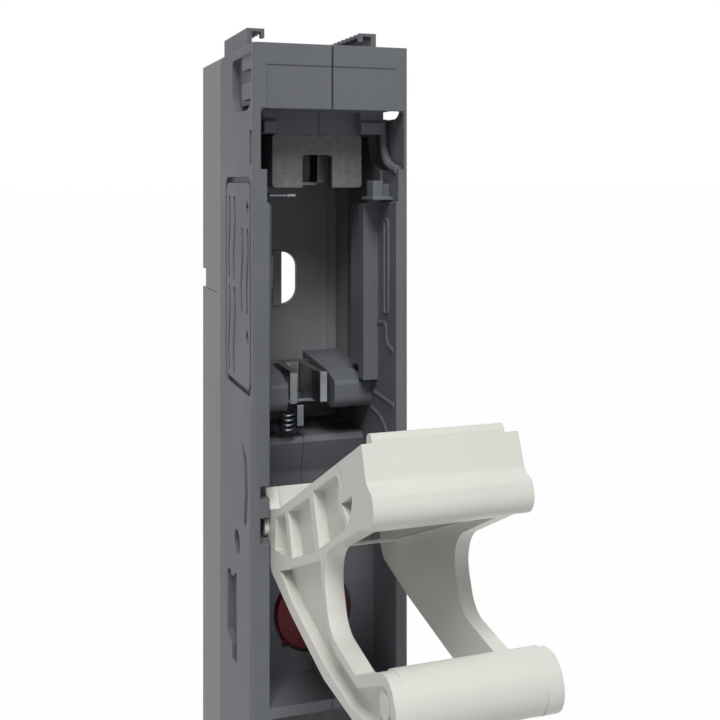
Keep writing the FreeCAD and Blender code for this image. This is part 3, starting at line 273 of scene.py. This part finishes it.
def edge_mask(finish, radius):
    """The rounded normal near edges, and a mask that is 1 on the edges themselves."""
    rounded = finish.node("ShaderNodeBevel", {"samples": 6}, {"Radius": radius})
    flat = finish.node("ShaderNodeNewGeometry", {}, {}, "Normal")
    level = finish.node("ShaderNodeVectorMath", {"operation": "DOT_PRODUCT"}, {0: rounded, 1: flat},
                        "Value")
    return rounded, finish.ramp(1.0 - level, low=0.01, high=0.25)


def moulded(name, base, rough, grain, edge, edge_wear_and_highlight=1.6, gloss=0.22, patch=38.0, mottle=0.06):
    """Moulded plastic: a spark-eroded grain, cloudy and streaked colour, and edges polished by handling,
    painted lighter partly as wear and partly as a painted highlight.
    """
    finish = Finish(bpy.data.materials.new(name))
    place = finish.place()
    rounded, worn_and_highlit = edge_mask(finish, edge)
    clouds = finish.ramp(finish.noise(place, patch, detail=4.0, roughness=0.6), low=0.32, high=0.68)
    flow = finish.ramp(finish.strokes(place, FLOW_SCALES, detail=3.0, roughness=0.65), low=0.56, high=0.78)
    specks = finish.noise(place, GRAIN_SCALE, detail=1.0)
    tint = finish.mix(clouds, shade(base, 1.0 - mottle), shade(base, 1.0 + mottle))
    tint = finish.mix(flow * FLOW_TINT, tint, shade(base, 1.0 + 2.0 * mottle))
    # Painted highlight: the edges are lightened in colour, partly for wear and partly as the highlight
    # light would give them.
    tint = finish.mix(worn_and_highlit * WEAR_AND_HIGHLIGHT_TINT, tint, shade(base, edge_wear_and_highlight))
    dull = rough + (clouds - 0.5) * CLOUD_ROUGH + (specks - 0.5) * GRAIN_ROUGH
    bump = finish.node("ShaderNodeBump", {}, {"Strength": grain, "Distance": GRAIN_DEPTH,
                                              "Height": specks, "Normal": rounded})
    shader = finish.node("ShaderNodeBsdfPrincipled", {}, {
        "Base Color": tint, "Roughness": dull - worn_and_highlit * WORN_ROUGH - flow * FLOW_ROUGH, "Normal": bump,
        "IOR": 1.49, "Specular IOR Level": gloss})
    return finish.close(shader)


def metal(name, base, rough, brushed, edge):
    """Plated metal with dull patches and fine rolling lines, which have a scale along each axis."""
    finish = Finish(bpy.data.materials.new(name))
    place = finish.place()
    rounded, worn_and_highlit = edge_mask(finish, edge)
    lines = finish.strokes(place, brushed, detail=3.0, roughness=0.7)
    patches = finish.ramp(finish.noise(place, PATCH_SCALE, detail=3.0), low=0.35, high=0.7)
    tint = finish.mix(patches, shade(base), shade(base, DULL_SHADE))
    # Painted highlight: the worn edges are lightened in colour, partly for wear and partly as a highlight.
    tint = finish.mix(worn_and_highlit * EDGE_WEAR_AND_HIGHLIGHT_TINT, tint, shade(base, EDGE_WEAR_AND_HIGHLIGHT_SHADE))
    bump = finish.node("ShaderNodeBump", {}, {"Strength": 0.25, "Distance": LINE_DEPTH,
                                              "Height": lines, "Normal": rounded})
    shader = finish.node("ShaderNodeBsdfPrincipled", {}, {
        "Base Color": tint, "Metallic": 1.0, "Normal": bump,
        "Roughness": rough + patches * PATCH_ROUGH + (lines - 0.5) * LINE_ROUGH})
    return finish.close(shader)


def clear(name, base):
    """Clear window plastic with faint scratches."""
    finish = Finish(bpy.data.materials.new(name))
    scratches = finish.ramp(finish.strokes(finish.place(), SCRATCH_SCALES, detail=2.0), low=0.55, high=0.75)
    shader = finish.node("ShaderNodeBsdfPrincipled", {}, {
        "Base Color": shade(base), "Roughness": WINDOW_ROUGH + scratches * SCRATCH_ROUGH, "IOR": 1.5,
        "Transmission Weight": 0.55})
    return finish.close(shader)


class HousingSettings(bpy.types.PropertyGroup):
    """The finishes of the housing and the pieces in it."""

    shell_colour: bpy.props.FloatVectorProperty(
        name="Shell colour", description="Moulded plastic of the two half-shells", subtype="COLOR", size=3,
        min=0.0, max=1.0, default=(0.150, 0.158, 0.173))
    base_colour: bpy.props.FloatVectorProperty(
        name="Base colour", description="Moulded plastic of the rear base", subtype="COLOR", size=3,
        min=0.0, max=1.0, default=(0.305, 0.312, 0.325))
    guard_colour: bpy.props.FloatVectorProperty(
        name="Guard colour", description="Darker plastic of the contact guards", subtype="COLOR", size=3,
        min=0.0, max=1.0, default=(0.178, 0.175, 0.183))
    # The caps' red is made darker than their own colour: painted shade for the shade they sit in under the
    # lids.
    cap_colour_and_shade: bpy.props.FloatVectorProperty(
        name="Cap colour", description="Plastic of the red caps", subtype="COLOR", size=3,
        min=0.0, max=1.0, default=(0.165, 0.012, 0.018))
    shell_edge: bpy.props.FloatProperty(
        name="Shell edge", description="Radius of the moulded edges", subtype="DISTANCE", unit="LENGTH",
        default=0.45 * MM, min=0.0, max=2 * MM)
    seam: bpy.props.FloatProperty(
        name="Seam", description="How far each half-shell is cut back where the two meet",
        subtype="DISTANCE", unit="LENGTH", default=0.45 * MM, min=0.0, max=1 * MM)
    wall_across: bpy.props.FloatProperty(
        name="Wall across", description="How far the chamber's right wall stands from the middle",
        subtype="DISTANCE", unit="LENGTH", default=21 * MM, min=0.0, max=25 * MM)
    scoop_across: bpy.props.FloatProperty(
        name="Scoop across", description="How far the scoop's rim under the head stands from the middle",
        subtype="DISTANCE", unit="LENGTH", default=21.75 * MM, min=0.0, max=25 * MM)
    rib_proud: bpy.props.FloatProperty(
        name="Rib proud", description="How far the small ribs stand out of the chamber's wall",
        subtype="DISTANCE", unit="LENGTH", default=0.45 * MM, min=0.0, max=1 * MM)


class LidSettings(bpy.types.PropertyGroup):
    """The finishes of the lids and their windows."""

    lid_colour: bpy.props.FloatVectorProperty(
        name="Lid colour", description="Light plastic of the lids", subtype="COLOR", size=3,
        min=0.0, max=1.0, default=(0.74, 0.735, 0.68))
    lid_edge: bpy.props.FloatProperty(
        name="Lid edge", description="Radius of the lid's moulded edges", subtype="DISTANCE", unit="LENGTH",
        default=0.4 * MM, min=0.0, max=2 * MM)
    window_tint: bpy.props.FloatVectorProperty(
        name="Window tint", description="Tint of the clear test windows", subtype="COLOR", size=3,
        min=0.0, max=1.0, default=(0.36, 0.36, 0.39))


class MetalSettings(bpy.types.PropertyGroup):
    """The finishes of the metal parts."""

    contact_colour: bpy.props.FloatVectorProperty(
        name="Contact colour", description="Tin plating of the contacts", subtype="COLOR", size=3,
        min=0.0, max=1.0, default=(0.37, 0.385, 0.395))
    spring_colour: bpy.props.FloatVectorProperty(
        name="Spring colour", description="Blued spring steel", subtype="COLOR", size=3,
        min=0.0, max=1.0, default=(0.30, 0.32, 0.36))
    screw_colour: bpy.props.FloatVectorProperty(
        name="Screw colour", description="Zinc plating of screws and cages", subtype="COLOR", size=3,
        min=0.0, max=1.0, default=(0.56, 0.56, 0.57))


class StageSettings(bpy.types.PropertyGroup):
    """The camera and the light."""

    lens: bpy.props.FloatProperty(
        name="Lens", description="Focal length of the camera", subtype="DISTANCE_CAMERA", default=53.0)
    key_power: bpy.props.FloatProperty(
        name="Key light", description="Power of the main lamp", subtype="POWER", default=17.6)
    fill_power: bpy.props.FloatProperty(
        name="Fill light", description="Power of the second lamp", subtype="POWER", default=4.5)
    shadow_reach: bpy.props.FloatProperty(
        name="Shadow reach", description="How far from the middle the floor shows the object's shadow",
        subtype="DISTANCE", unit="LENGTH", default=0.45, min=0.1, max=5.0)
    sky: bpy.props.FloatProperty(
        name="Sky", description="Strength of the even light from all sides", default=0.22, min=0.0, max=2.0)


def of_poles(*kinds):
    """The names that pieces of these kinds have in every pole."""
    return ["%s_%d" % (kind, pole) for kind in kinds for pole in POLES]


def dress(nodes, material):
    """Give carried-over nodes a material."""
    for node in nodes:
        for slot in frame["nodes"][node].material_slots:
            slot.material = material


def sharpen(made):
    """Smooth the faces of a bmesh, and keep the edges sharp where two faces meet at more than SHARP."""
    for face in made.faces:
        face.smooth = True
    for edge in made.edges:
        edge.smooth = len(edge.link_faces) == 2 and edge.calc_face_angle() < SHARP


def add_object(made, name, material):
    """Turn a bmesh into an object of one material."""
    mesh = bpy.data.meshes.new(name)
    made.to_mesh(mesh)
    made.free()
    mesh.materials.append(material)
    obj = bpy.data.objects.new(name, mesh)
    bpy.context.scene.collection.objects.link(obj)
    return obj


def settle(made, name, material, body="housing"):
    """Put a finished bmesh in the scene as a piece, on the body that carries it."""
    piece = add_object(made, name, material)
    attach(piece, body)
    return piece


def even_shading(piece):
    """Let flat faces keep one normal right up to the fillets beside them."""
    brought = piece.data.attributes.get("custom_normal")
    if brought:
        piece.data.attributes.remove(brought)
    weighted = piece.modifiers.new("even_shading", "WEIGHTED_NORMAL")
    weighted.keep_sharp = True
    weighted.mode = "FACE_AREA"


def whole(name, nodes, material, seam=0.0):
    """One piece in place of nodes that stand on each other, without the faces where they meet.

    The edges on the housing's middle are cut back by the seam, so that the halves meet in a groove.
    """
    levels = [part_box(node)[1][2] for node in nodes[1:]]
    made = bmesh.new()
    for node in nodes:
        made.from_mesh(frame["nodes"][node].data)
    hidden = [face for face in made.faces
              if any(all(abs(vert.co.z - level) < TOUCH for vert in face.verts) for level in levels)]
    bmesh.ops.delete(made, geom=hidden, context="FACES")
    bmesh.ops.remove_doubles(made, verts=made.verts, dist=TOUCH)
    bmesh.ops.dissolve_limit(made, angle_limit=FLAT, verts=made.verts, edges=made.edges)
    if seam:
        middle = [edge for edge in made.edges
                  if all(abs(vert.co.x) < TOUCH for vert in edge.verts) and len(edge.link_faces) == 2
                  and edge.calc_face_angle() > CORNER]
        bmesh.ops.bevel(made, geom=middle, offset=seam, segments=1, profile=0.5, affect="EDGES",
                        material=-1, clamp_overlap=True)
    bmesh.ops.connect_verts_concave(made, faces=made.faces)
    sharpen(made)
    piece = settle(made, name, material, BODY_OF[nodes[0]])
    even_shading(piece)
    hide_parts(*nodes)


class SWITCH_OT_housing(bpy.types.Operator):
    """Finish the half-shells, the rear base, the terminal cover and the contact carriers"""

    bl_idname = "switch.housing"
    bl_label = "Housing"

    def execute(self, context):
        look = context.scene.switch_housing
        shell = moulded("housing_grey", look.shell_colour, rough=0.50, grain=0.35, edge=look.shell_edge)
        base = moulded("base_grey", look.base_colour, rough=0.55, grain=0.35, edge=look.shell_edge)
        whole("left_shell_whole", of_poles("left_shell") + ["left_foot"], shell, look.seam)
        whole("right_shell_whole", of_poles("right_shell") + ["right_foot"], shell, look.seam)
        whole("rear_base_whole", of_poles("rear_base") + ["base_foot"], base)
        dress(["terminal_cover"] + of_poles("contact_carrier"), shell)
        return {"FINISHED"}


def spot(across, deep, drop, top):
    """The place that far across, behind the housing's front and under an opening's top, in mm."""
    return Vector((across * MM, FRONT + deep * MM, top - drop * MM))


def blocks(name, corners, edge, material):
    """Small blocks with rounded edges in each pole, each from one corner to the opposite one."""
    made = bmesh.new()
    for top in TOPS:
        for low, high in corners:
            first = spot(*low, top)
            last = spot(*high, top)
            sides = [abs(side) for side in last - first]
            place = Matrix.LocRotScale((first + last) / 2, None, sides)
            bmesh.ops.create_cube(made, size=1.0, matrix=place)
    bmesh.ops.bevel(made, geom=made.edges[:], offset=edge * MM, segments=2, profile=0.5, affect="EDGES",
                    material=-1)
    settle(made, name, material)


def wall_lines(name, runs, radius, wall, proud, material):
    """Rounded ribs along the runs in each pole, sunk in a wall that far across and a little proud of it."""
    across = wall + radius - proud
    curve = bpy.data.curves.new(name, "CURVE")
    curve.dimensions = "3D"
    curve.bevel_depth = radius * MM
    curve.bevel_resolution = 2
    curve.use_fill_caps = True
    for top in TOPS:
        for run in runs:
            ring = run[0] == run[-1]
            places = run[:-1] if ring else run
            spline = curve.splines.new("NURBS")
            spline.points.add(len(places) - 1)
            for point, (deep, drop) in zip(spline.points, places):
                point.co = (*spot(across, deep, drop, top), 1.0)
            spline.order_u = 3
            spline.use_cyclic_u = ring
            spline.use_endpoint_u = not ring
    holder = bpy.data.objects.new(name, curve)
    rounds = bpy.data.meshes.new_from_object(holder)
    bpy.data.objects.remove(holder)
    made = bmesh.new()
    made.from_mesh(rounds)
    bpy.data.meshes.remove(rounds)
    bmesh.ops.remove_doubles(made, verts=made.verts, dist=TOUCH)
    bmesh.ops.recalc_face_normals(made, faces=made.faces)
    sharpen(made)
    settle(made, name, material)


def hood_coils(material):
    """The upright coil spring under the left hood of each pole."""
    made = bmesh.new()
    steps = TURN_STEPS * COIL_TURNS
    for top in TOPS:
        centre = spot(*COIL_MIDDLE, top)
        start = centre + Vector((COIL_RADIUS * MM, 0.0, -COIL_TALL / 2 * MM))
        upright = Matrix.Translation(start) @ Matrix.Rotation(math.radians(90), 4, "X")
        wire = bmesh.ops.create_circle(made, segments=WIRE_SIDES, radius=WIRE_ACROSS / 2 * MM,
                                       matrix=upright)
        ring = wire["verts"]
        edges = list(dict.fromkeys(edge for vert in ring for edge in vert.link_edges))
        bmesh.ops.spin(made, geom=ring + edges, cent=centre, axis=(0.0, 0.0, 1.0), steps=steps,
                       angle=math.tau * COIL_TURNS, dvec=(0.0, 0.0, COIL_TALL * MM / steps))
    bmesh.ops.holes_fill(made, edges=made.edges[:])
    bmesh.ops.recalc_face_normals(made, faces=made.faces)
    for face in made.faces:
        face.smooth = True
    settle(made, "hood_coils", material)


class SWITCH_OT_trim(bpy.types.Operator):
    """Add the small ribs, stops and springs that stand in each chamber"""

    bl_idname = "switch.trim"
    bl_label = "Chamber trim"

    def execute(self, context):
        look = context.scene.switch_housing
        metals = context.scene.switch_metal
        shell = bpy.data.materials["housing_grey"]
        plate = metal("plate_tin", metals.contact_colour, rough=0.34, brushed=(4000.0, 300.0, 300.0),
                      edge=0.1 * MM)
        blued = metal("coil_blued", metals.spring_colour, rough=0.30, brushed=(300.0, 300.0, 3000.0),
                      edge=0.1 * MM)
        wall = look.wall_across / MM
        proud = look.rib_proud / MM
        blocks("cheek_stops", CHEEK_STOPS, STOP_EDGE, shell)
        blocks("guard_plates", GUARD_PLATES, STRIP_EDGE, blued)
        blocks("guard_tips", GUARD_TIPS, STRIP_EDGE, plate)
        blocks("hood_strips", HOOD_STRIPS, STRIP_EDGE, blued)
        hood_coils(blued)
        wall_lines("wall_ribs", RIB_RUNS, RIB_RADIUS, wall, proud, shell)
        wall_lines("wall_slots", SLOT_RUNS, SLOT_RADIUS, wall, proud, shell)
        wall_lines("scoop_rims", SCOOP_RUNS, SCOOP_RADIUS, look.scoop_across / MM, 2 * proud, shell)
        return {"FINISHED"}


class SWITCH_OT_guards(bpy.types.Operator):
    """Finish the guards over the upper contacts"""

    bl_idname = "switch.guards"
    bl_label = "Contact guards"

    def execute(self, context):
        guard = moulded("guard_dark", context.scene.switch_housing.guard_colour, rough=0.48, grain=0.45,
                        edge=0.3 * MM, patch=420.0, mottle=0.17)
        dress(of_poles("contact_guard"), guard)
        return {"FINISHED"}


class SWITCH_OT_caps(bpy.types.Operator):
    """Finish the red caps over the bolt tunnels"""

    bl_idname = "switch.caps"
    bl_label = "Caps"

    def execute(self, context):
        # The red carries painted shade as well as the caps' own colour.
        red = moulded("cap_red", context.scene.switch_housing.cap_colour_and_shade, rough=0.36, grain=0.2,
                      edge=0.3 * MM, edge_wear_and_highlight=1.5)
        dress(of_poles("red_cap"), red)
        return {"FINISHED"}


class SWITCH_OT_lids(bpy.types.Operator):
    """Finish the lids and their windows"""

    bl_idname = "switch.lids"
    bl_label = "Lids"

    def execute(self, context):
        look = context.scene.switch_lid
        light = moulded("lid_light", look.lid_colour, rough=0.40, grain=0.15, edge=look.lid_edge,
                        edge_wear_and_highlight=1.1, gloss=0.4, mottle=0.02)
        for name, node in zip(of_poles("lid_skin"), of_poles("lid")):
            whole(name, [node], light)
        dress(of_poles("test_window"), clear("window_clear", look.window_tint))
        return {"FINISHED"}


class SWITCH_OT_contacts(bpy.types.Operator):
    """Finish the contacts, their springs, the bars and the terminals"""

    bl_idname = "switch.contacts"
    bl_label = "Contacts"

    def execute(self, context):
        look = context.scene.switch_metal
        tin = metal("contact_tin", look.contact_colour, rough=0.30, brushed=(300.0, 300.0, 4000.0),
                    edge=0.15 * MM)
        spring = metal("spring_steel", look.spring_colour, rough=0.26, brushed=(300.0, 3000.0, 300.0),
                       edge=0.12 * MM)
        zinc = metal("screw_zinc", look.screw_colour, rough=0.34, brushed=(2500.0, 400.0, 400.0),
                     edge=0.15 * MM)
        dress(of_poles("upper_jaw", "lower_jaw", "contact_strip", "outgoing_bar"), tin)
        dress(of_poles("upper_jaw_spring", "lower_jaw_spring"), spring)
        dress(of_poles("terminal_cage", "terminal_screw"), zinc)
        return {"FINISHED"}


def in_view(finish):
    """A mask that is 1 for what the camera, gloss and glass show, and 0 for what only lights the object."""
    seen = finish.node("ShaderNodeLightPath", {}, {}, "Is Camera Ray")
    for ray in ("Is Glossy Ray", "Is Transmission Ray"):
        seen = seen.at_least(finish.node("ShaderNodeLightPath", {}, {}, ray))
    return seen


def add_floor(look):
    """A wide pale floor under the object, which turns white beyond the object's shadow."""
    finish = Finish(bpy.data.materials.new("floor_pale"))
    place = finish.place()
    reach = finish.node("ShaderNodeVectorMath", {"operation": "LENGTH"}, {0: place}, "Value")
    far = finish.ramp(reach, look.shadow_reach, 2 * look.shadow_reach)
    pale = finish.mix(finish.noise(place, FLOOR_CLOUDS), FLOOR_PALE, FLOOR_PALER)
    lit = finish.node("ShaderNodeBsdfPrincipled", {}, {"Base Color": pale, "Roughness": 0.9})
    white = finish.node("ShaderNodeEmission", {}, {"Color": WHITE, "Strength": 1.0})
    share = NEAR_WHITE + far * (FAR_WHITE - NEAR_WHITE)
    blend = finish.node("ShaderNodeMixShader", {}, {0: in_view(finish) * share, 1: lit, 2: white})
    made = bmesh.new()
    bmesh.ops.create_grid(made, x_segments=1, y_segments=1, size=FLOOR_HALF)
    bmesh.ops.translate(made, verts=made.verts, vec=(0.0, 0.0, FLOOR_LEVEL))
    add_object(made, "studio_floor", finish.close(blend))


def add_sky(look):
    """A sky that lights evenly from all sides and looks white."""
    finish = Finish(bpy.data.worlds.new("studio_sky"))
    even = finish.node("ShaderNodeBackground", {}, {"Color": SKY_COLOUR, "Strength": look.sky})
    white = finish.node("ShaderNodeBackground", {}, {"Color": WHITE})
    blend = finish.node("ShaderNodeMixShader", {}, {0: in_view(finish), 1: even, 2: white})
    bpy.context.scene.world = finish.close(blend, "ShaderNodeOutputWorld")


def stand(name, data, place, way):
    """Put a lamp or the camera at its place, looking that way."""
    obj = bpy.data.objects.new(name, data)
    obj.location = place
    obj.rotation_euler = way.to_track_quat("-Z", "Y").to_euler()
    bpy.context.scene.collection.objects.link(obj)
    return obj


def add_lamp(name, place, side, power):
    """A square soft lamp that is aimed at the object."""
    lamp = bpy.data.lights.new(name, "AREA")
    lamp.shape = "SQUARE"
    lamp.size = side
    lamp.energy = power
    stand(name, lamp, place, LAMP_AIM - place)


def add_camera(look):
    """A level camera, whose frame is shifted down so that upright edges stay upright."""
    camera = bpy.data.cameras.new("camera")
    camera.sensor_width = SENSOR_WIDTH
    camera.lens = look.lens
    camera.shift_y = CAMERA_SHIFT
    bpy.context.scene.camera = stand("camera", camera, CAMERA_PLACE, CAMERA_WAY)


class SWITCH_OT_stage(bpy.types.Operator):
    """Set up the floor, the sky, the lamps and the camera"""

    bl_idname = "switch.stage"
    bl_label = "Stage"

    def execute(self, context):
        look = context.scene.switch_stage
        context.scene.view_settings.view_transform = "Standard"
        add_floor(look)
        add_sky(look)
        add_lamp("key_lamp", KEY_PLACE, KEY_SIDE, look.key_power)
        add_lamp("fill_lamp", FILL_PLACE, FILL_SIDE, look.fill_power)
        add_camera(look)
        return {"FINISHED"}


class SWITCH_PT_panel(bpy.types.Panel):
    """Lists the pieces and their settings"""

    bl_idname = "SWITCH_PT_panel"
    bl_label = "Fuse switch disconnector"
    bl_space_type = "VIEW_3D"
    bl_region_type = "UI"
    bl_category = "Switchgear"

    def draw(self, context):
        column = self.layout.column()
        for operator in OPERATORS:
            column.operator(operator.bl_idname)
        for group, settings in GROUPS.items():
            for name in settings.__annotations__:
                column.prop(getattr(context.scene, group), name)


OPERATORS = (SWITCH_OT_housing, SWITCH_OT_trim, SWITCH_OT_guards, SWITCH_OT_caps, SWITCH_OT_lids,
             SWITCH_OT_contacts, SWITCH_OT_stage)
GROUPS = {
    "switch_housing": HousingSettings,
    "switch_lid": LidSettings,
    "switch_metal": MetalSettings,
    "switch_stage": StageSettings,
}
CLASSES = (*GROUPS.values(), *OPERATORS, SWITCH_PT_panel)


def register():
    for cls in CLASSES:
        bpy.utils.register_class(cls)
    for name, settings in GROUPS.items():
        setattr(bpy.types.Scene, name, bpy.props.PointerProperty(type=settings))


def unregister():
    for name in GROUPS:
        delattr(bpy.types.Scene, name)
    for cls in reversed(CLASSES):
        bpy.utils.unregister_class(cls)


def main():
    register()
    for operator in OPERATORS:
        group, name = operator.bl_idname.split(".")
        getattr(getattr(bpy.ops, group), name)()


if __name__ == "__main__":
    main()
